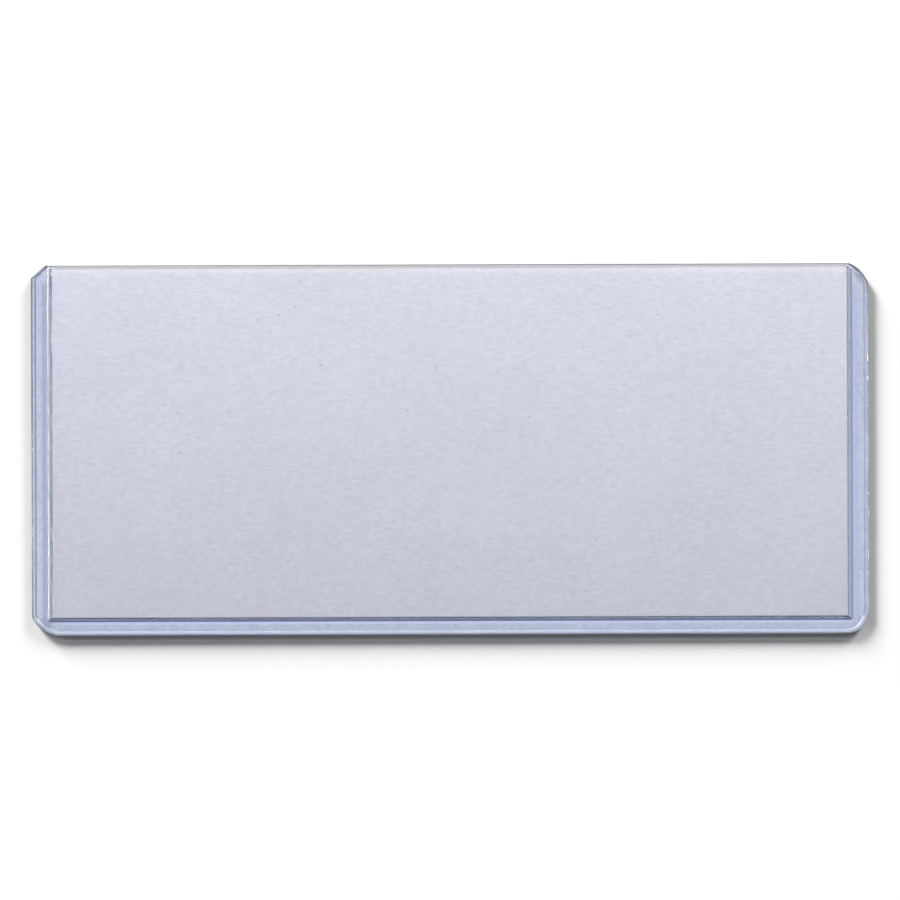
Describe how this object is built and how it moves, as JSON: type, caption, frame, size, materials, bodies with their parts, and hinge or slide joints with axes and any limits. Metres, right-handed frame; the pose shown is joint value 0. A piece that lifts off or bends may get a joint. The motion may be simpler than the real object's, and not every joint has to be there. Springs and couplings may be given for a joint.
{
  "type": "banknote toploader",
  "caption": "Rigid clear plastic sleeve for a banknote: flat back sheet, formed front sheet, welded sides and bottom, open mouth, and a blank card that slides out.",
  "frame": {"origin": "middle of the sleeve's outline, on the outer face of the back sheet", "axes": "+X along the long side, to the right as seen from the front; +Y towards the open mouth; +Z out of the front face"},
  "size_m": [0.1714, 0.0758, 0.0017],
  "materials": {
    "clear_plastic": "gloss",
    "fused_plastic": "gloss",
    "card_paper": "matte"
  },
  "bodies": {
    "sleeve": {"back_sheet": "clear_plastic", "front_panel": "clear_plastic", "front_rim": "clear_plastic", "left_side_weld": "fused_plastic", "right_side_weld": "fused_plastic", "bottom_weld": "fused_plastic"},
    "card": {"blank_card": "card_paper"}
  },
  "joints": [
    {"name": "card_slide", "type": "slide", "parent": "sleeve", "child": "card", "axis": [0, 1, 0], "range_m": [0, 0.068]}
  ]
}
